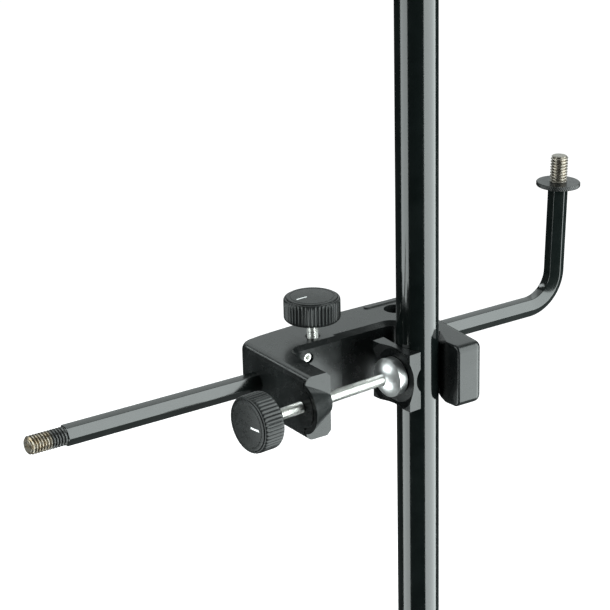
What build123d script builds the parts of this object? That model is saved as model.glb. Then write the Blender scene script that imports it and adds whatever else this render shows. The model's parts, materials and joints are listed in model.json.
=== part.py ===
"""Clamp-on side arm on the upright tube of a stand.

A die-cast C-shaped clamp grips a round upright between a fixed jaw and a movable jaw.
A bent hexagonal rod with threaded ends passes through the spine of the clamp.

Frame: +Z runs up the tube, the origin is the centre of the tube's lower end, and
+X runs along the rod towards its upturned end.  Millimetres.
"""
import os
from math import cos, radians, sin, sqrt, tan

from build123d import *

# ---- upright tube -------------------------------------------------------------------
tube_od = 22.0
tube_wall = 1.5
tube_length = 346.0
clamp_height = 142.0        # rod axis above the tube's lower end

# ---- side arm rod -------------------------------------------------------------------
rod_af = 9.7                # across the flats of the hexagon
rod_y = 36.0                # rod axis behind the tube axis
rod_corner = 0.5            # rounding of the hexagon's six edges
rod_left = -188.0           # end of the hexagon at the straight end
stud_r = 9.525 / 2          # 3/8 inch thread, major radius
left_thread_length = 20.0
bend_radius = 19.0          # centre line
bend_angle = 87.6
upright_foot_x = 120.7      # where the upturned centre line would cross the rod axis
shoulder_z = 66.4           # top of the hexagon above the rod axis
stud_length = 17.2          # from the shoulder to the tip
thread_chamfer = 1.0
neck_r = 4.6                # plain neck at the stud's foot, inside the lock ring
neck_length = 2.6

# ---- lock ring on the upturned end --------------------------------------------------
ring_r = 12.1
ring_thickness = 2.4
ring_seat_gap = 0.05
ring_chamfer = 0.4

# ---- clamp body ---------------------------------------------------------------------
half_height = 17.0
left_face = -76.0           # outer side of the left arm
left_inner = -61.0          # inner side of the left arm
left_front = -9.0           # front of the left arm
spine_front = 27.0
spine_back = 59.0           # furthest point of the spine's bowed back
left_back = 54.0            # back end of the flat left face
bow_left = (-62.0, 56.4)    # where the bow leaves the left corner
bow_mid_x = -20.0
bow_right_y = 58.2
right_front = -22.3         # front of the right arm
front_corner_r = 1.2        # rounding where its front meets the throat
right_face_front = 25.2     # outer side of the right arm, at its front
right_face_back = 31.0      # outer side of the right arm, at the spine
relief_x = -29.0            # where the spine's inner wall steps back behind the tube
relief_depth = 2.0
left_back_r = 9.0           # corner rounding in plan
right_back_r = 7.0
right_front_r = 4.5
throat_right_r = 5.0
throat_left_r = 8.0
outer_fillet = 4.0
inner_bevel = 2.4
rod_clearance = 0.15        # each flat of the rod to its passage
seam_width = 0.8            # shaped groove round the thread boss
seam_depth = 0.7
seam_r = 11.0
seam_inset = 1.5            # the straight lengths lie this far behind the left arm's front
rim_left, rim_right = 4.0, 27.0     # low raised rim behind the spare socket
rim_front, rim_back = 51.2, 54.3
rim_height = 0.6
sink_depth = 1.1            # countersinks round the tapped holes

# ---- clamp axis ---------------------------------------------------------------------
clamp_tilt = 5.0            # the clamp screw leans this far back in plan
clamp_offset = 2.0          # it passes this far behind the tube axis
jaw_gap = 0.3               # jaw faces to the tube
fixed_land = 7.7            # flat land of the fixed jaw, in front of the tube axis
fixed_vee = 60.0            # half angle of the fixed jaw's vee
boss_r_outer = 14.6         # cone ends, 2 mm beyond each side of the left arm
boss_r_inner = 6.1
boss_beyond = 2.0

# ---- screws and knobs ---------------------------------------------------------------
screw_r = 3.0               # M6
screw_clearance = 0.05
knob_r = 14.8
knob_depth = 12.0
knob_back_chamfer = 0.8
knob_front_r = 1.0
cap_r = 13.6
cap_depth = 2.6
cap_proud = 0.9             # crown of the cap above the knob's rim
cap_edge_r = 0.8
head_af = 10.0              # hexagon head of an M6 bolt
head_depth = 4.0
tip_chamfer = 0.5
clamp_knob_s = -97.5        # rear face of the clamp knob along the clamp axis
clamp_tip_s = -15.6         # end of the clamp screw
top_screw_x = -40.8
top_knob_z = 26.6           # lower face of the top knob above the rod axis

# ---- movable jaw, along the clamp axis from the tube ---------------------------------
jaw_back_s = -16.2
jaw_half_width = 14.3
jaw_half_height = 15.6
jaw_vee = 80.0              # half angle of its shallow vee
bowl_rim_r = 17.9           # conical hollow in the jaw's back; it leaves four corners standing
bowl_floor_r = 14.3
bowl_floor_s = -13.3
relief_r = 8.6              # shallow hollow across the middle of the vee
relief_s = -11.6
cup_r = 9.6                 # round cup for the swivel ball
cup_bore_r = 7.6
cup_rim_s = -18.6
cup_bore_s = -16.4
cup_root = 0.4              # the cup runs this far into the bowl's floor
ball_r = 5.0
ball_s = -18.2
ball_gap = 0.05
dome_r = 10.3               # pressed cap over the cup and the ball
dome_rim_s = -19.0
dome_apex_s = -23.6
dome_wall = 0.6
dome_hole_r = 3.4
rolled_rim_depth = 0.9
collar_r = 10.0
collar_end_s = -13.8
journal_r = 2.2
journal_length = 7.2

# ---- rod pad and grub screw ---------------------------------------------------------
pad_r = 2.9
pad_depth = 2.5
pad_seat_gap = 0.02         # to the rod's upper flat
pad_screw_gap = 0.08        # to the screw's tip
grub_x = -49.4
grub_z = 9.6
grub_r = 2.5
grub_length = 8.0
grub_inset = 1.2            # its head below the spine's inner wall
grub_chamfer = 0.4
grub_key_r = 1.45           # hexagon socket
grub_key_depth = 3.0
grub_hole_r = 2.9
grub_hole_end = 40.0        # the hole opens into the rod's passage

# ---- spare socket in the spine ------------------------------------------------------
socket_x = 17.0
socket_y = 42.0
socket_r = 6.5
socket_depth = 9.5

clamp_mid = Pos(0, 0, clamp_height)
clamp_axis = Rot(0, 0, clamp_tilt) * Pos(0, clamp_offset, 0)
along_x = Rot(0, 90, 0)


def rod_x(radius, start, end):
    """Round bar along local X from start to end."""
    bar = Cylinder(radius, end - start, align=(Align.CENTER, Align.CENTER, Align.MIN))
    return Pos(start, 0, 0) * along_x * bar


def bar_z(radius, bottom, top):
    """Round bar along Z from bottom to top."""
    return Pos(0, 0, bottom) * Cylinder(radius, top - bottom, align=(Align.CENTER, Align.CENTER, Align.MIN))


def chamfered_bar(radius, length, chamfer_size):
    """Round bar on +Z with a chamfered top end."""
    bar = bar_z(radius, 0, length)
    rim = bar.edges().filter_by(GeomType.CIRCLE).sort_by(Axis.Z)[-1]
    return chamfer(rim, chamfer_size)


def stand_tube():
    outer = bar_z(tube_od / 2, 0, tube_length)
    return outer - bar_z(tube_od / 2 - tube_wall, -1, tube_length + 1)


# ---- rod ----------------------------------------------------------------------------
def bend_points():
    """Key points of the rod's centre line in the X-Z plane."""
    lean = radians(90 - bend_angle)
    turn = radians(bend_angle)
    end_dx = bend_radius * sin(turn)
    end_z = bend_radius * (1 - cos(turn))
    bend_x = upright_foot_x + end_z * tan(lean) - end_dx
    mid = (bend_x + bend_radius * sin(turn / 2), bend_radius * (1 - cos(turn / 2)))
    end = (bend_x + end_dx, end_z)
    shoulder = (upright_foot_x + shoulder_z * tan(lean), shoulder_z)
    return bend_x, mid, end, shoulder


def hexagon(across_flats, plane, rounding=0.0):
    """Hexagonal face with a vertex on the plane's local X axis."""
    face = plane * RegularPolygon(across_flats / sqrt(3), 6)
    if rounding:
        face = fillet(face.vertices(), rounding)
    return face


def upright_frame():
    """Plane at the shoulder, with its normal along the upturned end."""
    _, _, _, shoulder = bend_points()
    lean = 90 - bend_angle
    return Plane(Pos(shoulder[0], rod_y, shoulder[1]) * Rot(0, lean, 0))


def arm_rod():
    bend_x, mid, end, shoulder = bend_points()
    run = Line((rod_left, rod_y, 0), (bend_x, rod_y, 0))
    arc = ThreePointArc((bend_x, rod_y, 0), (mid[0], rod_y, mid[1]), (end[0], rod_y, end[1]))
    rise = Line((end[0], rod_y, end[1]), (shoulder[0], rod_y, shoulder[1]))
    start = Plane(origin=(rod_left, rod_y, 0), x_dir=(0, 1, 0), z_dir=(1, 0, 0))
    bar = sweep(hexagon(rod_af, start, rod_corner), path=Wire([run, arc, rise]))
    stud = chamfered_bar(stud_r, stud_length - neck_length, thread_chamfer)
    stud = Pos(0, 0, neck_length) * stud + bar_z(neck_r, 0, neck_length)
    stud = upright_frame().location * stud
    left = chamfered_bar(stud_r, left_thread_length, thread_chamfer)
    left = Pos(rod_left, rod_y, 0) * Rot(0, -90, 0) * left
    return bar + stud + left


def lock_ring():
    ring = bar_z(ring_r, ring_seat_gap, ring_seat_gap + ring_thickness)
    ring = chamfer(ring.edges().filter_by(GeomType.CIRCLE), ring_chamfer)
    ring -= bar_z(stud_r + screw_clearance, -1, ring_thickness + 1)
    return upright_frame().location * ring


# ---- clamp body ---------------------------------------------------------------------
def jaw_line(side, distance, half_angle, land):
    """Corner points of a vee jaw in the clamp frame, side +1 right or -1 left."""
    apex = distance / sin(radians(half_angle))
    mouth = (apex - land) * tan(radians(half_angle))
    return side * apex, side * land, mouth


def to_plan(along, across):
    """Plan coordinates of a point given along and across the clamp direction, from the tube."""
    tilt = radians(clamp_tilt)
    return (along * cos(tilt) - across * sin(tilt), along * sin(tilt) + across * cos(tilt))


def body_outline():
    """Plan of the C: left arm, spine with a bowed back, right arm with a vee seat."""
    apex, land, mouth = jaw_line(1, tube_od / 2 + jaw_gap, fixed_vee, fixed_land)
    land_front = to_plan(land, right_front - 1.0)
    land_back = to_plan(land, spine_front + relief_depth)
    slope = tan(radians(clamp_tilt))
    corner_x = land_front[0] - (right_front - land_front[1]) * slope
    back_x = land_back[0] + (land_back[1] - spine_front - relief_depth) * slope
    relief_y = spine_front + relief_depth
    vee = [to_plan(land, -mouth), to_plan(apex, 0), to_plan(land, mouth)]
    points = [(left_face, left_front), (left_face, left_back)]
    bow_end = (right_face_back, bow_right_y)
    front = [bow_end, (right_face_front, right_front), (corner_x, right_front)]
    inner = [(back_x, relief_y), (relief_x, relief_y), (relief_x, spine_front)]
    arm = [(left_inner, spine_front), (left_inner, left_front), (left_face, left_front)]
    side = Polyline(*points)
    lead = Line(points[-1], bow_left)
    bow = ThreePointArc(bow_left, (bow_mid_x, spine_back), bow_end)
    rest = Polyline(*front, *vee, *inner, *arm)
    return make_face([*side.edges(), lead, bow, *rest.edges()])


def round_corner(face, x, y, radius):
    corner = face.vertices().sort_by_distance((x, y, 0))[0]
    return fillet(corner, radius)


def clamp_blank():
    """The C with its rounded corners and edges, before the holes."""
    face = body_outline()
    face = round_corner(face, left_face, left_back, left_back_r)
    face = round_corner(face, right_face_back, spine_back, right_back_r)
    face = round_corner(face, right_face_front, right_front, right_front_r)
    face = round_corner(face, fixed_land, spine_front + relief_depth, throat_right_r)
    face = round_corner(face, left_inner, spine_front, throat_left_r)
    blank = Pos(0, 0, -half_height) * extrude(face, 2 * half_height)
    blank = fillet(blank.edges().filter_by(on_rim).filter_by(on_outer_side), outer_fillet)
    blank = chamfer(blank.edges().filter_by(on_rim).filter_by(on_inner_side), inner_bevel)
    corner = blank.edges().filter_by(Axis.Z).sort_by_distance((fixed_land, right_front, 0))[0]
    return fillet(corner, front_corner_r)


def on_rim(edge):
    """Edges lying in the flat top or bottom of the clamp."""
    return abs(abs(edge.center().Z) - half_height) < 0.01


def on_outer_side(edge):
    """Edges of the left face, the back and the right face."""
    spot = edge.center()
    return spot.X < left_face + 3 or spot.Y > spine_back - 9 or spot.X > right_face_front - 2.2


def on_inner_side(edge):
    """Edges along the throat of the C, short of the right arm's front."""
    spot = edge.center()
    return left_inner - 1 < spot.X < fixed_land + 6 and right_front / 2 < spot.Y < spine_front + 8


def thread_boss():
    """Tapered boss round the clamp screw, standing out of the left arm's front."""
    length = left_inner - left_face
    reach = length + 2 * boss_beyond
    cone = Cone(boss_r_outer, boss_r_inner, reach, align=(Align.CENTER, Align.CENTER, Align.MIN))
    cone = clamp_axis * Pos(left_face - boss_beyond, 0, 0) * along_x * cone
    slab = Pos((left_face + left_inner) / 2, left_front, 0) * Box(length, 60, 2 * half_height)
    return cone & slab


def seam():
    """Shallow groove on the left face: straight near the top and bottom, round the boss between."""
    tilt = radians(clamp_tilt)
    centre_y = clamp_offset / cos(tilt) + left_face * tan(tilt)
    band = bar_z(seam_r + seam_width / 2, 0, seam_depth) - bar_z(seam_r - seam_width / 2, -1, seam_depth + 1)
    start_y = left_front + seam_inset
    half = sqrt(seam_r**2 - (start_y - centre_y) ** 2)
    ring = Pos(left_face, centre_y, 0) * along_x * band
    front = Pos(left_face, start_y - 20, 0) * Box(10, 40, 60)
    groove = ring & front
    for side in (1, -1):
        run = half_height - half + 1
        centre_z = side * (half + run / 2 - 0.3)
        groove += Pos(left_face + seam_depth / 2, start_y, centre_z) * Box(seam_depth, seam_width, run)
    return groove


def raised_rim():
    """Low rim with round ends on top of the spine, behind the spare socket."""
    length = rim_right - rim_left
    width = rim_back - rim_front
    strip = SlotOverall(length, width)
    spot = Pos((rim_left + rim_right) / 2, (rim_front + rim_back) / 2, half_height - 1)
    return spot * extrude(strip, 1 + rim_height)


def clamp_body():
    body = clamp_blank() + thread_boss() + raised_rim()
    body -= seam()
    passage = Plane(origin=(left_face - 10, rod_y, 0), x_dir=(0, 1, 0), z_dir=(1, 0, 0))
    body -= extrude(hexagon(rod_af + 2 * rod_clearance, passage), right_face_back - left_face + 20)
    body -= clamp_axis * rod_x(screw_r + screw_clearance, left_face - 12, left_inner + 12)
    body -= Pos(top_screw_x, rod_y, 0) * bar_z(screw_r + screw_clearance, 0, half_height + 1)
    sink = Cone(screw_r, screw_r + 2 * sink_depth, 2 * sink_depth)
    body -= Pos(top_screw_x, rod_y, half_height) * sink
    grub_hole = bar_z(grub_hole_r, spine_front - 8, grub_hole_end)
    body -= Pos(grub_x, 0, grub_z) * Rot(-90, 0, 0) * grub_hole
    body -= Pos(socket_x, socket_y, 0) * bar_z(socket_r, half_height - socket_depth, half_height + 1)
    return body


# ---- screws and knobs ---------------------------------------------------------------
def bolt(length, head_drop):
    """Hexagon-headed M6 bolt pointing down, its head's top at the origin."""
    head = extrude(RegularPolygon(head_af / sqrt(3), 6), -head_depth)
    shank = bar_z(screw_r, -length, -head_drop)
    tip = shank.edges().filter_by(GeomType.CIRCLE).sort_by(Axis.Z)[0]
    return head + chamfer(tip, tip_chamfer)


def knob():
    """Plastic hand knob on +Z, rear face at the origin, with a pocket for the bolt head and cap."""
    body = bar_z(knob_r, 0, knob_depth)
    rims = body.edges().filter_by(GeomType.CIRCLE).sort_by(Axis.Z)
    body = chamfer(rims[0], knob_back_chamfer)
    rims = body.edges().filter_by(GeomType.CIRCLE).sort_by(Axis.Z)
    body = fillet(rims[-1], knob_front_r)
    body -= bar_z(cap_r, knob_depth - cap_depth, knob_depth + 1)
    head_floor = knob_depth - cap_depth - head_depth
    body -= Pos(0, 0, head_floor) * extrude(RegularPolygon(head_af / sqrt(3), 6), head_depth)
    body -= bar_z(screw_r, -1, head_floor + 1)
    return body


def knob_cap():
    """Crowned cover disc over the bolt head."""
    cap = bar_z(cap_r, knob_depth - cap_depth, knob_depth + cap_proud)
    rim = cap.edges().filter_by(GeomType.CIRCLE).sort_by(Axis.Z)[-1]
    return fillet(rim, cap_edge_r)


# The clamp knob faces away from the clamp, so its local +Z runs back along the clamp axis.
clamp_knob_place = clamp_axis * Pos(clamp_knob_s, 0, 0) * Rot(0, -90, 0)
top_knob_place = Pos(top_screw_x, rod_y, top_knob_z)
head_top = knob_depth - cap_depth


def clamp_screw():
    """M6 screw with a plain journal at its tip, which turns in the swivel ball."""
    length = clamp_tip_s - clamp_knob_s + head_top
    screw = Pos(0, 0, head_top) * bolt(length - journal_length, head_depth)
    screw += bar_z(journal_r, head_top - length, head_top - length + journal_length + 0.5)
    return clamp_knob_place * screw


def top_screw():
    tip = rod_af / 2 + pad_seat_gap + pad_depth + pad_screw_gap
    length = top_knob_z + head_top - tip
    return top_knob_place * Pos(0, 0, head_top) * bolt(length, head_depth)


def rod_pad():
    bottom = rod_af / 2 + pad_seat_gap
    return Pos(top_screw_x, rod_y, 0) * bar_z(pad_r, bottom, bottom + pad_depth)


def grub_screw():
    screw = bar_z(grub_r, 0, grub_length)
    screw = chamfer(screw.edges().filter_by(GeomType.CIRCLE), grub_chamfer)
    screw -= extrude(RegularPolygon(grub_key_r, 6), grub_key_depth)
    return Pos(grub_x, spine_front + grub_inset, grub_z) * Rot(-90, 0, 0) * screw


# ---- movable jaw --------------------------------------------------------------------
def jaw_block():
    """Block behind a shallow vee, both faces running the full height of the jaw."""
    apex, _, _ = jaw_line(-1, tube_od / 2 + jaw_gap, jaw_vee, 0)
    land = apex + jaw_half_width / tan(radians(jaw_vee))
    front = clamp_offset - jaw_half_width
    rear = clamp_offset + jaw_half_width
    face_line = [(land, front), (apex, 0), (land, rear)]
    plan = Polyline((jaw_back_s, front), *face_line, (jaw_back_s, rear), close=True)
    return Pos(0, 0, -jaw_half_height) * extrude(make_face(plan.edges()), 2 * jaw_half_height)


def jaw_bowl():
    """Cone that hollows the back of the jaw, drawn out past the back face."""
    depth = bowl_floor_s - jaw_back_s
    flare = (bowl_rim_r - bowl_floor_r) / depth
    cone = Cone(bowl_rim_r + flare, bowl_floor_r, depth + 1, align=(Align.CENTER, Align.CENTER, Align.MIN))
    return Pos(jaw_back_s - 1, 0, 0) * along_x * cone


def movable_jaw():
    """Cast jaw: vee face towards the tube, hollowed back with a round cup for the swivel ball."""
    axis = Pos(0, clamp_offset, 0)
    cup = rod_x(cup_r, cup_rim_s, bowl_floor_s + cup_root)
    hollow = rod_x(cup_bore_r, cup_rim_s - 1, cup_bore_s)
    seat = Pos(ball_s, 0, 0) * along_x * Sphere(ball_r + ball_gap)
    jaw = jaw_block() - axis * jaw_bowl()
    jaw = jaw + axis * cup
    jaw -= axis * hollow
    jaw -= axis * seat
    relief = Rot(90, 0, 0) * Cylinder(relief_r, 4 * jaw_half_width)
    jaw -= Pos(relief_s + relief_r, 0, 0) * relief
    return Rot(0, 0, clamp_tilt) * jaw


def swivel_ball():
    """Ball on the screw's tip, held in the jaw and bored for the journal."""
    ball = Pos(ball_s, 0, 0) * along_x * Sphere(ball_r)
    ball -= rod_x(journal_r + screw_clearance, ball_s - 2 * ball_r, clamp_tip_s + 0.1)
    return clamp_axis * ball


def dome_cap():
    """Thin domed cap over the ball, with a rolled rim, a collar round the cup and a hole for the screw."""
    depth = dome_rim_s - dome_apex_s
    sphere_r = (dome_r**2 + depth**2) / (2 * depth)
    centre = Pos(dome_apex_s + sphere_r, 0, 0) * along_x
    shell = centre * Sphere(sphere_r) - centre * Sphere(sphere_r - dome_wall)
    reach = 4 * dome_r
    shell = shell & (Pos(dome_rim_s - reach / 2, 0, 0) * Box(reach, reach, reach))
    rim = rod_x(dome_r, dome_rim_s, dome_rim_s + rolled_rim_depth)
    collar = rod_x(collar_r, dome_rim_s, collar_end_s)
    cap = shell + rim + collar
    cap -= rod_x(cup_r + ball_gap, cup_rim_s - ball_gap, collar_end_s + 1)
    cap -= rod_x(cup_r - ball_gap, dome_rim_s - 0.01, collar_end_s)
    cap -= rod_x(dome_hole_r, dome_apex_s - 2, dome_rim_s)
    return clamp_axis * cap


NODES = {
    "stand_tube": stand_tube,
    "clamp_body": clamp_body,
    "arm_rod": arm_rod,
    "lock_ring": lock_ring,
    "clamp_screw": clamp_screw,
    "clamp_knob": lambda: clamp_knob_place * knob(),
    "clamp_knob_cap": lambda: clamp_knob_place * knob_cap(),
    "swivel_ball": swivel_ball,
    "dome_cap": dome_cap,
    "movable_jaw": movable_jaw,
    "top_screw": top_screw,
    "top_knob": lambda: top_knob_place * knob(),
    "top_knob_cap": lambda: top_knob_place * knob_cap(),
    "rod_pad": rod_pad,
    "grub_screw": grub_screw,
}


def main():
    os.makedirs("parts", exist_ok=True)
    for name, make in NODES.items():
        shape = make()
        if name != "stand_tube":
            shape = clamp_mid * shape
        export_step(shape, f"parts/{name}.step")


if __name__ == "__main__":
    main()
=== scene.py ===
"""Looks of a clamp-on side arm on the upright tube of a stand.

Threads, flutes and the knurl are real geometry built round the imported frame.  Sizes and places come
from the frame: joints and mounts give the axes, and the CAD nodes give how far each piece reaches.
Metres, in the row's frame: +Z up the tube, +X along the rod.
"""
import json
import math

import bpy
from mathutils import Matrix, Vector


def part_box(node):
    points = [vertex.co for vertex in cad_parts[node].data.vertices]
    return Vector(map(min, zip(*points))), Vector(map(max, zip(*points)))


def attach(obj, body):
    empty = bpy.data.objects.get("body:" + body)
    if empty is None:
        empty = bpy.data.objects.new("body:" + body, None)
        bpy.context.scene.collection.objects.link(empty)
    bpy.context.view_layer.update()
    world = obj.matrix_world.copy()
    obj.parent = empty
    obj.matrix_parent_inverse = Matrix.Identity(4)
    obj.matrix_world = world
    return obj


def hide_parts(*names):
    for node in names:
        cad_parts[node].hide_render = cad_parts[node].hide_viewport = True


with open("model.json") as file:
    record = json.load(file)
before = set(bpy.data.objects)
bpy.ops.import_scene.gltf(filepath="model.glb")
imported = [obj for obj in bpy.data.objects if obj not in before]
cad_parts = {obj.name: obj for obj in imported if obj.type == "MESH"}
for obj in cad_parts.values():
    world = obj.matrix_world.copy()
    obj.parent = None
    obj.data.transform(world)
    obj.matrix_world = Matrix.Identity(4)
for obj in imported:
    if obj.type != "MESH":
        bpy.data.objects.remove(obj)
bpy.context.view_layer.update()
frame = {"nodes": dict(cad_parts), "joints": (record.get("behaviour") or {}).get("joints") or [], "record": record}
mm = 0.001
tau = 2 * math.pi

joints = {j["name"]: j for j in frame["joints"]}
mounts = {m["name"]: m for m in frame["record"]["mounts"]}

# ---- driving dimensions ---------------------------------------------------------------
stand_pitch = 25.4 / 16 * mm       # 3/8 inch, 16 turns per inch
screw_pitch = 1.0 * mm             # M6
thread_depth = 0.6134              # depth of a thread in pitches
screw_radius = 3.0 * mm
screw_tip_chamfer = 0.5 * mm
journal_radius = 2.2 * mm
journal_length = 7.2 * mm
journal_chamfer = 0.3 * mm
head_flats = 10.0 * mm
head_depth = 4.0 * mm
head_corner = 0.15 * mm
head_chamfer = 0.4 * mm
hexagon_flats = 9.7 * mm
hexagon_corner = 0.5 * mm          # rounding of the hexagon's edges
hexagon_chamfer = 0.5 * mm         # at both ends of the hexagonal bar
bend_radius = 19.0 * mm
stud_chamfer = 1.0 * mm
stud_run_out = 1.0 * mm            # the thread fades out over this length
ring_seat_gap = 0.05 * mm
ring_bore_gap = 0.05 * mm
ring_edge = 0.4 * mm
flute_count = 44
flute_depth = 0.55 * mm
flute_fade = 1.2 * mm              # the flutes fade out over this length at both rims
knurl_count = 64
knurl_depth = 0.28 * mm
knurl_twist = 1.6                  # teeth the knurl leans by across the rim
knob_hole_radius = 3.05 * mm
knob_head_radius = 5.85 * mm
knob_pocket_radius = 13.6 * mm
knob_pocket_depth = 2.6 * mm


# ---- the frame's axes -----------------------------------------------------------------
def placed(point, axis, along=0.0):
    """Matrix that puts local Z on an axis, with the origin moved along it."""
    direction = Vector(axis).normalized()
    turn = direction.to_track_quat("Z", "Y").to_matrix().to_4x4()
    return Matrix.Translation(Vector(point) + direction * along) @ turn


def reach(node, point, axis):
    """(start, end, radius) of a CAD node measured along and round an axis."""
    direction = Vector(axis).normalized()
    offsets = [v.co - Vector(point) for v in frame["nodes"][node].data.vertices]
    along = [o.dot(direction) for o in offsets]
    around = max((o - direction * a).length for o, a in zip(offsets, along))
    return min(along), max(along), around


clamp_point = joints["clamp_spin"]["pos_m"]
clamp_outward = -Vector(joints["clamp_spin"]["axis"])
lock_point = joints["lock_spin"]["pos_m"]
lock_outward = Vector(joints["lock_spin"]["axis"])
stud_axis = Vector(joints["ring_spin"]["axis"]).normalized()
rod_height = clamp_point[2]
rod_depth = lock_point[1]


# ---- mesh helpers ---------------------------------------------------------------------
def loft(rings, loop=False):
    """Vertices and faces of a skin over rings of equal count; loop joins the last ring to the first."""
    count = len(rings[0])
    verts = [p for ring in rings for p in ring]
    faces = []
    last = len(rings) if loop else len(rings) - 1
    for i in range(last):
        low, high = i * count, (i + 1) % len(rings) * count
        for j in range(count):
            k = (j + 1) % count
            faces.append((low + j, low + k, high + k, high + j))
    if not loop:
        faces.append(tuple(reversed(range(count))))
        faces.append(tuple(range(len(verts) - count, len(verts))))
    return verts, faces


def piece(name, skins, matrix, body, material, node=None, sharp=32):
    """One object from one or more skins, put in place, riding on its body."""
    verts, faces = [], []
    for skin_verts, skin_faces in skins:
        base = len(verts)
        verts += skin_verts
        faces += [tuple(base + i for i in face) for face in skin_faces]
    mesh = bpy.data.meshes.new(name)
    mesh.from_pydata(verts, [], faces)
    mesh.validate()
    mesh.shade_smooth()
    mesh.set_sharp_from_angle(angle=math.radians(sharp))
    obj = bpy.data.objects.new(name, mesh)
    bpy.context.scene.collection.objects.link(obj)
    obj.matrix_world = matrix
    mesh.materials.append(material)
    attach(obj, body)
    if node:
        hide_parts(node)
    return obj


def circle(radius, z, count, wave=None):
    """Ring of points; wave(angle, z) adds to the radius."""
    ring = []
    for i in range(count):
        angle = tau * i / count
        r = radius + (wave(angle, z) if wave else 0.0)
        ring.append((r * math.cos(angle), r * math.sin(angle), z))
    return ring


def solid_turned(profile, count=96):
    """Skin turned from (radius, z) points, closed by flat ends."""
    return loft([circle(r, z, count) for r, z in profile])


def ridge(phase):
    """Height from 0 to 1 of a vee thread with flat crest and root."""
    slope = 1.5 * (1 - abs(2 * (phase % 1.0) - 1)) - 0.2
    return min(max(slope, 0.0), 1.0)


def threaded(radius, pitch, start, end, tip_chamfer, run_out, count=64):
    """Threaded bar on Z from start to end, its tip at end."""
    depth = thread_depth * pitch
    steps = max(4, round((end - start) / pitch * 12))
    rings = []
    for i in range(steps + 1):
        z = start + (end - start) * i / steps
        limit = radius - max(0.0, tip_chamfer - (end - z))
        full = min(max((z - start) / run_out, 0.0), 1.0) if run_out else 1.0

        def wave(angle, height, limit=limit, full=full):
            cut = depth * full * (1 - ridge(height / pitch - angle / tau))
            return min(radius - cut, limit) - radius

        rings.append(circle(radius, z, count, wave))
    return loft(rings)


def hexagon_ring(flats, corner, centre, across, up, limit=None):
    """Rounded hexagon with a corner on the across axis, its corners held inside a limit radius."""
    points = []
    inset = corner / math.cos(math.radians(30))
    tip = flats / math.sqrt(3) - inset
    for side in range(6):
        for turn in (-30, -15, 0, 15, 30):
            towards = math.radians(60 * side)
            angle = towards + math.radians(turn)
            x = tip * math.cos(towards) + corner * math.cos(angle)
            y = tip * math.sin(towards) + corner * math.sin(angle)
            size = math.hypot(x, y)
            keep = min(1.0, (limit or size) / size)
            points.append(tuple(centre + across * x * keep + up * y * keep))
    return points


# ---- materials ------------------------------------------------------------------------
def new_shader(name):
    material = bpy.data.materials.new(name)
    material.use_nodes = True
    tree = material.node_tree
    shader = tree.nodes["Principled BSDF"]
    return material, tree, shader


def add(tree, kind, **values):
    node = tree.nodes.new(kind)
    for key, value in values.items():
        if key in node.inputs:
            node.inputs[key].default_value = value
        else:
            setattr(node, key, value)
    return node


def noise(tree, scale, detail=4.0, roughness=0.55, stretch=(1, 1, 1)):
    """Noise in object space; scale is in features per metre."""
    coords = add(tree, "ShaderNodeTexCoord")
    mapping = add(tree, "ShaderNodeMapping", Scale=stretch)
    texture = add(tree, "ShaderNodeTexNoise", Scale=scale, Detail=detail, Roughness=roughness)
    tree.links.new(coords.outputs["Object"], mapping.inputs["Vector"])
    tree.links.new(mapping.outputs["Vector"], texture.inputs["Vector"])
    return texture.outputs["Fac"]


def span(tree, value, low, high, new_low, new_high):
    node = add(tree, "ShaderNodeMapRange")
    tree.links.new(value, node.inputs["Value"])
    for key, number in zip(("From Min", "From Max", "To Min", "To Max"), (low, high, new_low, new_high)):
        node.inputs[key].default_value = number
    return node.outputs["Result"]


def mix(tree, factor, first, second):
    """Colour mix; first and second are sockets or RGB triples."""
    node = add(tree, "ShaderNodeMix", data_type="RGBA")
    tree.links.new(factor, node.inputs["Factor"])
    for socket, value in ((node.inputs[6], first), (node.inputs[7], second)):
        if isinstance(value, tuple):
            socket.default_value = (*value, 1.0)
        else:
            tree.links.new(value, socket)
    return node.outputs[2]


def times(tree, first, second):
    node = add(tree, "ShaderNodeMath", operation="MULTIPLY")
    tree.links.new(first, node.inputs[0])
    tree.links.new(second, node.inputs[1])
    return node.outputs["Value"]


def edge_mask(tree, radius):
    """1 on outside edges tighter than the radius, 0 on open surfaces."""
    bevel = add(tree, "ShaderNodeBevel", Radius=radius, samples=4)
    geometry = add(tree, "ShaderNodeNewGeometry")
    dot = add(tree, "ShaderNodeVectorMath", operation="DOT_PRODUCT")
    tree.links.new(bevel.outputs["Normal"], dot.inputs[0])
    tree.links.new(geometry.outputs["Normal"], dot.inputs[1])
    return span(tree, dot.outputs["Value"], 0.985, 0.86, 0.0, 1.0)


def bumps(tree, shader, layers):
    """Stack of bump layers, each (height socket, distance in metres, strength)."""
    normal = None
    for height, distance, strength in layers:
        node = add(tree, "ShaderNodeBump", Distance=distance, Strength=strength)
        tree.links.new(height, node.inputs["Height"])
        if normal:
            tree.links.new(normal, node.inputs["Normal"])
        normal = node.outputs["Normal"]
    tree.links.new(normal, shader.inputs["Normal"])


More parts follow.
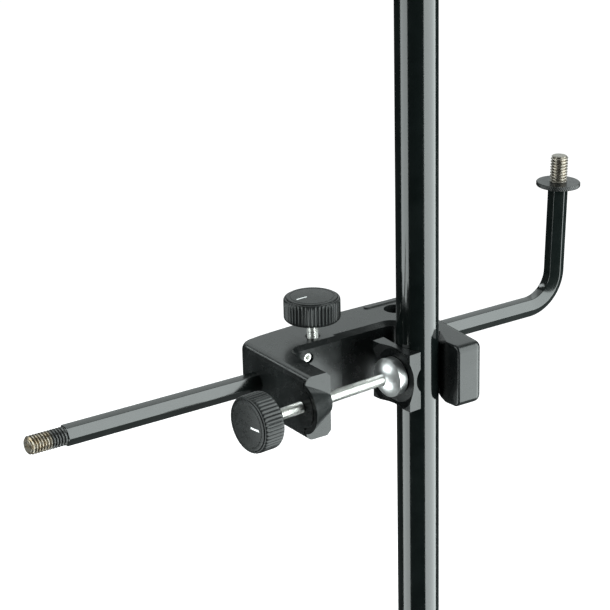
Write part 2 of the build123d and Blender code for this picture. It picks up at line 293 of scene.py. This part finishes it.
def painted(name, dark, light, worn, gloss, grain, wear, specular=0.28):
    """Black coating: cloudy tone, orange peel, and a lighter tone where edges are rubbed."""
    material, tree, shader = new_shader(name)
    cloud = span(tree, noise(tree, 70, 5), 0.35, 0.65, 0.0, 1.0)
    speck = span(tree, noise(tree, 900, 3), 0.35, 0.7, 0.0, 1.0)
    rub = times(tree, edge_mask(tree, 0.45 * mm), span(tree, noise(tree, 260, 5), 0.42, 0.62, 0.0, wear))
    coat = mix(tree, cloud, dark, light)
    tree.links.new(mix(tree, rub, coat, worn), shader.inputs["Base Color"])
    low, high = gloss
    tree.links.new(span(tree, noise(tree, 160, 6), 0.3, 0.7, low, high), shader.inputs["Roughness"])
    shader.inputs["Specular IOR Level"].default_value = specular
    grain_scale, grain_height = grain
    layers = [(noise(tree, grain_scale, 3), grain_height, 0.5), (speck, 0.01 * mm, 0.15)]
    bumps(tree, shader, layers)
    return material


def plated(name, dark, light, gloss, streak, scratch=0.02 * mm):
    """Plated or turned metal: drifting tone, fine turning marks and uneven polish."""
    material, tree, shader = new_shader(name)
    drift = span(tree, noise(tree, 110, 4), 0.35, 0.65, 0.0, 1.0)
    lines = noise(tree, 60, 6, 0.7, streak)
    tree.links.new(mix(tree, drift, dark, light), shader.inputs["Base Color"])
    low, high = gloss
    tree.links.new(span(tree, lines, 0.3, 0.7, low, high), shader.inputs["Roughness"])
    shader.inputs["Metallic"].default_value = 1.0
    bumps(tree, shader, [(lines, scratch, 0.25)])
    return material


def moulded(name, dark, light, gloss, specular, pointer=False):
    """Moulded plastic with a fine spark-eroded grain, and a plain printed pointer line if asked for."""
    material, tree, shader = new_shader(name)
    cloud = span(tree, noise(tree, 120, 4), 0.35, 0.65, 0.0, 1.0)
    colour = mix(tree, cloud, dark, light)
    rub = times(tree, edge_mask(tree, 0.3 * mm), span(tree, noise(tree, 300, 4), 0.4, 0.65, 0.0, 0.5))
    colour = mix(tree, rub, colour, (0.09, 0.095, 0.095))
    if pointer:
        colour = mix(tree, printed_line(tree), colour, (0.75, 0.76, 0.76))
    tree.links.new(colour, shader.inputs["Base Color"])
    low, high = gloss
    tree.links.new(span(tree, noise(tree, 400, 5), 0.3, 0.7, low, high), shader.inputs["Roughness"])
    shader.inputs["Specular IOR Level"].default_value = specular
    bumps(tree, shader, [(noise(tree, 2600, 2), 0.02 * mm, 0.35)])
    return material


def printed_line(tree, near=3.0 * mm, far=9.5 * mm, half_width=0.55 * mm):
    """1 on a short radial line along local X, with slightly broken ink."""
    coords = add(tree, "ShaderNodeTexCoord")
    parts = add(tree, "ShaderNodeSeparateXYZ")
    tree.links.new(coords.outputs["Object"], parts.inputs["Vector"])
    size = add(tree, "ShaderNodeMath", operation="ABSOLUTE")
    tree.links.new(parts.outputs["Y"], size.inputs[0])
    soft = 0.1 * mm
    line = span(tree, size.outputs["Value"], half_width, half_width - soft, 0.0, 1.0)
    begin = span(tree, parts.outputs["X"], near, near + soft, 0.0, 1.0)
    end = span(tree, parts.outputs["X"], far, far - soft, 0.0, 1.0)
    ink = span(tree, noise(tree, 1500, 3), 0.3, 0.45, 0.7, 1.0)
    return times(tree, times(tree, line, ink), times(tree, begin, end))


def thread_finish(name, bare_from, bare_to, tint):
    """Steel thread, bare beyond a height on local Z and black below it."""
    material, tree, shader = new_shader(name)
    coords = add(tree, "ShaderNodeTexCoord")
    parts = add(tree, "ShaderNodeSeparateXYZ")
    tree.links.new(coords.outputs["Object"], parts.inputs["Vector"])
    bare = span(tree, parts.outputs["Z"], bare_from, bare_to, 0.0, 1.0)
    patch = span(tree, noise(tree, 420, 5), 0.38, 0.6, 0.0, 1.0)
    steel = mix(tree, patch, (0.20, 0.185, 0.16), tint)
    black = mix(tree, patch, (0.012, 0.013, 0.013), (0.03, 0.03, 0.028))
    ragged = times(tree, bare, span(tree, noise(tree, 900, 4), 0.25, 0.5, 0.55, 1.0))
    tree.links.new(mix(tree, ragged, black, steel), shader.inputs["Base Color"])
    tree.links.new(span(tree, noise(tree, 700, 4), 0.3, 0.7, 0.22, 0.42), shader.inputs["Roughness"])
    tree.links.new(ragged, shader.inputs["Metallic"])
    bumps(tree, shader, [(noise(tree, 1800, 3), 0.02 * mm, 0.3)])
    return material


def make_materials():
    return {
        "tube": painted("tube_coat", (0.0018, 0.0028, 0.0027), (0.0035, 0.005, 0.0048),
                        (0.03, 0.03, 0.03), (0.09, 0.14), (420, 0.004 * mm), 0.3, 0.42),
        "cast": painted("cast_coat", (0.0035, 0.0042, 0.0042), (0.007, 0.008, 0.008),
                        (0.07, 0.072, 0.072), (0.20, 0.30), (900, 0.010 * mm), 0.4, 0.27),
        "rod": painted("rod_coat", (0.002, 0.0035, 0.0033), (0.005, 0.0068, 0.0064),
                       (0.11, 0.11, 0.10), (0.09, 0.17), (600, 0.006 * mm), 0.45, 0.45),
        "ring": painted("ring_coat", (0.004, 0.0045, 0.0045), (0.009, 0.0095, 0.0095),
                        (0.14, 0.14, 0.13), (0.24, 0.36), (900, 0.015 * mm), 0.6, 0.25),
        "zinc": plated("zinc_plate", (0.58, 0.58, 0.56), (0.74, 0.74, 0.72), (0.24, 0.38), (1, 1, 9)),
        "polished": plated("polished_plate", (0.64, 0.65, 0.65), (0.82, 0.83, 0.82), (0.30, 0.42), (5, 1, 1)),
        "brass": plated("turned_brass", (0.50, 0.36, 0.16), (0.66, 0.50, 0.25), (0.25, 0.4), (1, 1, 8)),
        "knob": moulded("knob_plastic", (0.0035, 0.004, 0.004), (0.008, 0.009, 0.009), (0.26, 0.38), 0.22),
        "cap": moulded("cap_plastic", (0.004, 0.0045, 0.0045), (0.009, 0.010, 0.010),
                       (0.24, 0.34), 0.16, True),
    }


# ---- pieces ---------------------------------------------------------------------------
def bend_line():
    """Centre line of the hexagonal bar as (point, up) pairs in the rod's X-Z plane, and its shoulder."""
    shoulder = ring_seat()
    turn = math.atan2(stud_axis.z, stud_axis.x)
    foot = shoulder - stud_axis * ((shoulder.z - rod_height) / stud_axis.z)
    tangent = bend_radius * math.tan(turn / 2)
    bend_start = foot - Vector((tangent, 0, 0))
    start = Vector((hexagon_start(), rod_depth, rod_height))
    points = [(start, Vector((0, 0, 1)))]
    steps = 36
    for i in range(steps + 1):
        angle = turn * i / steps
        offset = Vector((math.sin(angle), 0, 1 - math.cos(angle))) * bend_radius
        points.append((bend_start + offset, Vector((-math.sin(angle), 0, math.cos(angle)))))
    points.append((shoulder, Vector((-math.sin(turn), 0, math.cos(turn)))))
    return points, shoulder


def ring_seat():
    """Centre of the shoulder that the lock ring sits on."""
    low, _, _ = reach("lock_ring", joints["ring_spin"]["pos_m"], stud_axis)
    return Vector(joints["ring_spin"]["pos_m"]) + stud_axis * (low - ring_seat_gap)


def hexagon_start():
    """X where the hexagon ends and the tail's thread begins."""
    flats = hexagon_flats / 2
    node = frame["nodes"]["arm_rod"].data
    wide = [v.co.x for v in node.vertices if abs(v.co.y - rod_depth) > flats]
    return min(wide)


def build_rod(materials):
    line, shoulder = bend_line()
    across = Vector((0, 1, 0))
    limit = hexagon_flats / 2 + 0.05 * mm
    start_inset = Vector((hexagon_chamfer, 0, 0))
    end_inset = stud_axis * hexagon_chamfer
    first, first_up = line[0]
    last, last_up = line[-1]
    stations = [(first, first_up, limit), (first + start_inset, first_up, None)]
    stations += [(point, up, None) for point, up in line[1:-1]]
    stations += [(last - end_inset, last_up, None), (last, last_up, limit)]
    rings = []
    for point, up, held in stations:
        rings.append(hexagon_ring(hexagon_flats, hexagon_corner, point, across, up, held))
    piece("side_arm_bar", [loft(rings)], Matrix.Identity(4), "arm", materials["rod"],
          "arm_rod", 20)
    build_rod_threads(shoulder)


def build_rod_threads(shoulder):
    radius = mounts["arm_stud"]["dims"]["r_mm"] * mm
    _, stud_top, _ = reach("arm_rod", shoulder, stud_axis)
    stud = threaded(radius, stand_pitch, 0.0, stud_top, stud_chamfer, stud_run_out)
    finish = thread_finish("stud_thread_steel", 1.5 * mm, 4 * mm, (0.26, 0.235, 0.20))
    piece("stud_thread", [stud], placed(shoulder, stud_axis), "arm", finish)
    start = hexagon_start()
    tail_axis = Vector(mounts["arm_tail"]["axis"])
    tail_point = (start, rod_depth, rod_height)
    tail_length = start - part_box("arm_rod")[0].x
    tail = threaded(radius, stand_pitch, 0.0, tail_length, stud_chamfer, stud_run_out)
    finish = thread_finish("tail_thread_steel", 0.36 * tail_length, 0.5 * tail_length, (0.17, 0.135, 0.09))
    piece("tail_thread", [tail], placed(tail_point, tail_axis), "arm", finish)


def build_lock_ring(materials):
    point = joints["ring_spin"]["pos_m"]
    low, high, radius = reach("lock_ring", point, stud_axis)
    bore = mounts["arm_stud"]["dims"]["r_mm"] * mm + ring_bore_gap
    edge = ring_edge

    def knurl(angle, z):
        phase = knurl_count * angle / tau + (z - low) / (high - low) * knurl_twist
        return -knurl_depth * abs(2 * (phase % 1.0) - 1)

    rows = 8
    count = knurl_count * 6
    rings = [circle(bore, low, count), circle(radius - 3 * edge, low, count)]
    rings.append(circle(radius - edge, low, count))
    for i in range(rows + 1):
        z = low + edge + (high - low - 2 * edge) * i / rows
        rings.append(circle(radius, z, count, knurl))
    rings.append(circle(radius - edge, high, count))
    rings.append(circle(radius - 3 * edge, high, count))
    rings.append(circle(bore, high, count))
    skin = loft(rings, loop=True)
    piece("lock_ring_knurled", [skin], placed(point, stud_axis), "lock_ring", materials["ring"],
          "lock_ring", 40)


def knob_skin(radius, depth):
    """Fluted knob on Z with its rear face at 0 and a round pocket for the bolt head and cap."""
    pocket_floor = depth - knob_pocket_depth
    head_floor = pocket_floor - head_depth
    points = flute_count * 6

    def flutes(angle, z):
        edge = min(1.0, z / flute_fade, (depth - z) / flute_fade)
        return -flute_depth * edge * (0.5 + 0.5 * math.cos(flute_count * angle)) ** 1.6

    rings = [circle(knob_hole_radius, 0, points), circle(radius - 1.9 * mm, 0, points)]
    rings.append(circle(radius - 0.9 * mm, 0.25 * mm, points))
    rings.append(circle(radius - 0.25 * mm, 0.9 * mm, points, flutes))
    rows = 8
    low, high = 1.6 * mm, depth - 1.5 * mm
    for i in range(rows + 1):
        rings.append(circle(radius, low + (high - low) * i / rows, points, flutes))
    rings.append(circle(radius - 0.15 * mm, depth - 0.7 * mm, points, flutes))
    rings.append(circle(radius - 0.55 * mm, depth - 0.15 * mm, points))
    rings.append(circle(radius - 0.9 * mm, depth, points))
    for r, z in ((knob_pocket_radius, depth), (knob_pocket_radius, pocket_floor),
                 (knob_head_radius, pocket_floor), (knob_head_radius, head_floor),
                 (knob_hole_radius, head_floor)):
        rings.append(circle(r, z, points))
    return loft(rings, loop=True)


def cap_skin(rim, low, high):
    """Crowned disc on Z: rounded rim, a shallow moulded step, and a slight dome."""
    rim_depth, rim_rounding = 1.0 * mm, 0.7 * mm
    shelf, crown_drop = high - 0.28 * mm, 0.24 * mm
    step, step_floor = rim - 1.9 * mm, high - 0.42 * mm
    crown = step - 0.5 * mm
    profile = [(0.4 * mm, low), (rim, low), (rim, high - rim_depth)]
    for turn in (25, 50, 75):
        angle = math.radians(turn)
        inward, upward = rim_rounding * (1 - math.cos(angle)), rim_rounding * math.sin(angle)
        profile.append((rim - inward, high - rim_depth + upward))
    profile += [(rim - 0.9 * mm, shelf), (step + 0.15 * mm, high - 0.26 * mm)]
    profile += [(step, step_floor), (step - 0.35 * mm, step_floor), (crown, high - crown_drop)]
    for part in (0.8, 0.6, 0.4, 0.2, 0.05):
        profile.append((crown * part, high - crown_drop * part**2))
    return solid_turned(profile, 128)


def build_knob(prefix, node, point, outward, body, materials, cap_material):
    low, high, radius = reach(node, point, outward)
    here = placed(point, outward, low)
    knob = knob_skin(radius, high - low)
    piece(prefix + "_fluted", [knob], here, body, materials["knob"], node, 50)
    cap_low, cap_high, rim = reach(node + "_cap", point, outward)
    cap = cap_skin(rim - 0.12 * mm, cap_low - low, cap_high - low)
    piece(prefix + "_cover", [cap], here, body, cap_material, node + "_cap", 30)


def head_skin(low, high):
    """Hexagon head with a turned top chamfer."""
    across, up = Vector((1, 0, 0)), Vector((0, 1, 0))
    levels = [(low, None), (high - head_chamfer, None), (high, head_flats / 2)]
    rings = []
    for z, limit in levels:
        rings.append(hexagon_ring(head_flats, head_corner, Vector((0, 0, z)), across, up, limit))
    return loft(rings)


def build_screws(materials):
    for name, node, point, outward, body in (
        ("clamp_screw_threaded", "clamp_screw", clamp_point, clamp_outward, "clamp_spindle"),
        ("lock_screw_threaded", "top_screw", lock_point, lock_outward, "lock_spindle"),
    ):
        low, high, _ = reach(node, point, outward)
        plain = journal_length if node == "clamp_screw" else 0.0
        length = high - head_depth - low - plain
        shank = threaded(screw_radius, screw_pitch, 0.0, length, screw_tip_chamfer, 0.0, 48)
        flipped = placed(point, -outward, -(high - head_depth))
        head = head_skin(-head_depth, 0.0)
        skins = [shank, head]
        if plain:
            shoulder, tip = length - journal_chamfer, length + plain
            profile = [(journal_radius, shoulder), (journal_radius, tip - journal_chamfer)]
            profile.append((journal_radius - journal_chamfer, tip))
            skins.append(solid_turned(profile, 48))
        piece(name, skins, flipped, body, materials["zinc"], node, 60)


def dress(node, material):
    """Give a CAD node that is shown as it is its finish."""
    obj = frame["nodes"][node]
    obj.data.materials.clear()
    obj.data.materials.append(material)


def dress_frame(materials):
    dress("stand_tube", materials["tube"])
    dress("clamp_body", materials["cast"])
    dress("movable_jaw", materials["cast"])
    dress("dome_cap", materials["polished"])
    dress("swivel_ball", materials["polished"])
    dress("grub_screw", materials["zinc"])
    dress("rod_pad", materials["brass"])


# ---- camera, floor and light ----------------------------------------------------------
camera_azimuth = math.radians(-33.7334)
camera_elevation = math.radians(20.7177)
camera_roll = math.radians(-1.3084)
camera_distance = 1158.4137 * mm
camera_aside = Vector((-58.2733 * mm, 33.3212 * mm))
camera_lens = 132.08
sensor_width = 36.0
light_tint = (0.92, 1.0, 0.99)


def camera_axes():
    """Right, up and back of the camera before it is rolled."""
    azimuth, elevation = camera_azimuth, camera_elevation
    back = Vector((math.sin(azimuth) * math.cos(elevation), -math.cos(azimuth) * math.cos(elevation),
                   math.sin(elevation)))
    right = Vector((math.cos(azimuth), math.sin(azimuth), 0))
    return right, back.cross(right), back


def add_camera():
    right, up, back = camera_axes()
    c, s = math.cos(camera_roll), math.sin(camera_roll)
    rolled_right = right * c + up * s
    rolled_up = up * c - right * s
    place = rolled_right * camera_aside.x + rolled_up * camera_aside.y + back * camera_distance
    place.z += rod_height
    data = bpy.data.cameras.new("view_camera")
    data.lens = camera_lens
    data.sensor_width = sensor_width
    camera = bpy.data.objects.new("view_camera", data)
    bpy.context.scene.collection.objects.link(camera)
    turn = Matrix((rolled_right, rolled_up, back)).transposed().to_4x4()
    camera.matrix_world = Matrix.Translation(place) @ turn
    bpy.context.scene.camera = camera


def shown_or_seen(tree, reflected, direct):
    """One colour in reflections and bounces, another where the stage itself is looked at."""
    path = add(tree, "ShaderNodeLightPath")
    return mix(tree, path.outputs["Is Camera Ray"], reflected, direct)


def add_floor():
    """Large pale floor below the held tube."""
    material, tree, shader = new_shader("floor_paper")
    tone = span(tree, noise(tree, 6, 3), 0.3, 0.7, 0.0, 1.0)
    paper = mix(tree, tone, (0.80, 0.80, 0.80), (0.82, 0.82, 0.82))
    tree.links.new(shown_or_seen(tree, (0.10, 0.10, 0.10), paper), shader.inputs["Base Color"])
    tree.links.new(shown_or_seen(tree, (0, 0, 0), (0.93, 0.93, 0.93)), shader.inputs["Emission Color"])
    shader.inputs["Emission Strength"].default_value = 1.0
    shader.inputs["Roughness"].default_value = 0.9
    shader.inputs["Specular IOR Level"].default_value = 0.1
    half, height = 12.0, -0.68
    corners = [(-half, -half, height), (half, -half, height), (half, half, height), (-half, half, height)]
    mesh = bpy.data.meshes.new("floor")
    mesh.from_pydata(corners, [], [(0, 1, 2, 3)])
    mesh.materials.append(material)
    floor = bpy.data.objects.new("floor", mesh)
    bpy.context.scene.collection.objects.link(floor)


def add_softbox(name, bearing, elevation, distance, width, height, radiance):
    """Rectangular light that faces the clamp; bearing is in plan, anticlockwise from +X."""
    data = bpy.data.lights.new(name, "AREA")
    data.shape = "RECTANGLE"
    data.size = width
    data.size_y = height
    data.energy = radiance * math.pi * width * height
    data.color = light_tint
    light = bpy.data.objects.new(name, data)
    bpy.context.scene.collection.objects.link(light)
    bearing, elevation = math.radians(bearing), math.radians(elevation)
    out = Vector((math.cos(bearing) * math.cos(elevation), math.sin(bearing) * math.cos(elevation),
                  math.sin(elevation)))
    centre = Vector((0, 0, rod_height))
    light.matrix_world = placed(centre, out, distance)
    light.visible_camera = False


def add_light():
    add_softbox("key_softbox", -50, 3, 0.85, 1.35, 1.6, 8.4)
    add_softbox("left_strip", 165, -6, 0.8, 0.62, 1.3, 6.4)
    add_softbox("back_panel", 56, 27, 1.7, 2.2, 1.3, 1.0)
    add_softbox("top_softbox", 60, 66, 1.3, 1.6, 1.6, 1.3)
    add_softbox("rim_panel", 115, 31, 1.4, 0.35, 0.18, 8.0)
    world = bpy.data.worlds.new("studio")
    bpy.context.scene.world = world
    world.use_nodes = True
    tree = world.node_tree
    background = tree.nodes["Background"]
    tree.links.new(shown_or_seen(tree, (0.10, 0.105, 0.105), (1.0, 1.0, 1.0)), background.inputs["Color"])
    bpy.context.scene.view_settings.view_transform = "Standard"


# ---- build ----------------------------------------------------------------------------
finishes = make_materials()
dress_frame(finishes)
build_rod(finishes)
build_lock_ring(finishes)
build_knob("clamp_knob", "clamp_knob", clamp_point, clamp_outward, "clamp_spindle", finishes, finishes["cap"])
build_knob("lock_knob", "top_knob", lock_point, lock_outward, "lock_spindle", finishes, finishes["cap"])
build_screws(finishes)
add_camera()
add_floor()
add_light()
